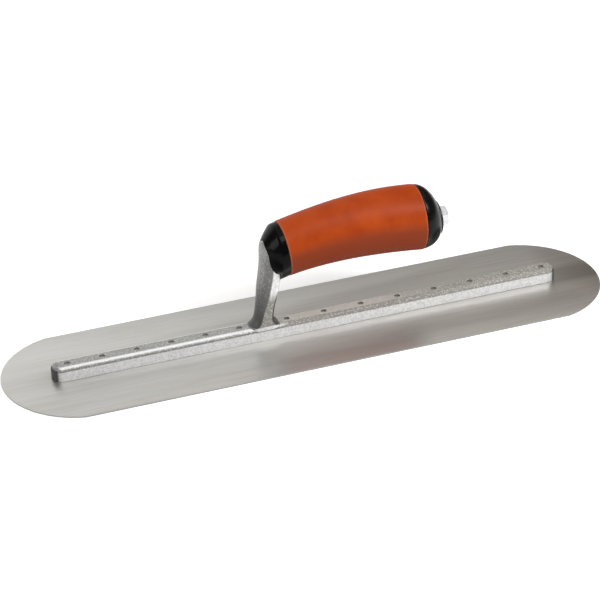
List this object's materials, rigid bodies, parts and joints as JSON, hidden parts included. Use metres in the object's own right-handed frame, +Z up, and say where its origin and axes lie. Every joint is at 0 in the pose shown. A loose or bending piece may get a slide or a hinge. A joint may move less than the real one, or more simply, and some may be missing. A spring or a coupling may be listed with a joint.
{
  "type": "steel finishing trowel",
  "caption": "Finishing trowel with a long round-ended steel blade, a riveted cast mounting with a raised shank, and a bowed soft grip bolted to it.",
  "frame": {"origin": "centre of the blade's underside, on the working face", "axes": "+X along the blade towards the handle's free end (the heel), +Y across the blade, +Z up from the working face"},
  "size_m": [0.4064, 0.1016, 0.0891],
  "materials": {
    "spring_steel": "ground and brushed lengthwise",
    "cast_aluminium": "as cast, with ground bright sides",
    "rivet_steel": "ground flush",
    "soft_orange": "satin soft-touch",
    "black_plastic": "smooth, slightly glossy",
    "core_plastic": "matt moulded",
    "plated_steel": "bright zinc plated"
  },
  "bodies": {
    "root": {"blade": "spring_steel", "mounting": "cast_aluminium", "toe_rivets": "rivet_steel", "heel_rivets": "rivet_steel", "front_ferrule": "black_plastic", "handle_core": "core_plastic", "soft_grip": "soft_orange", "end_cap": "black_plastic", "end_washer": "black_plastic", "handle_bolt": "plated_steel"}
  },
  "joints": []
}
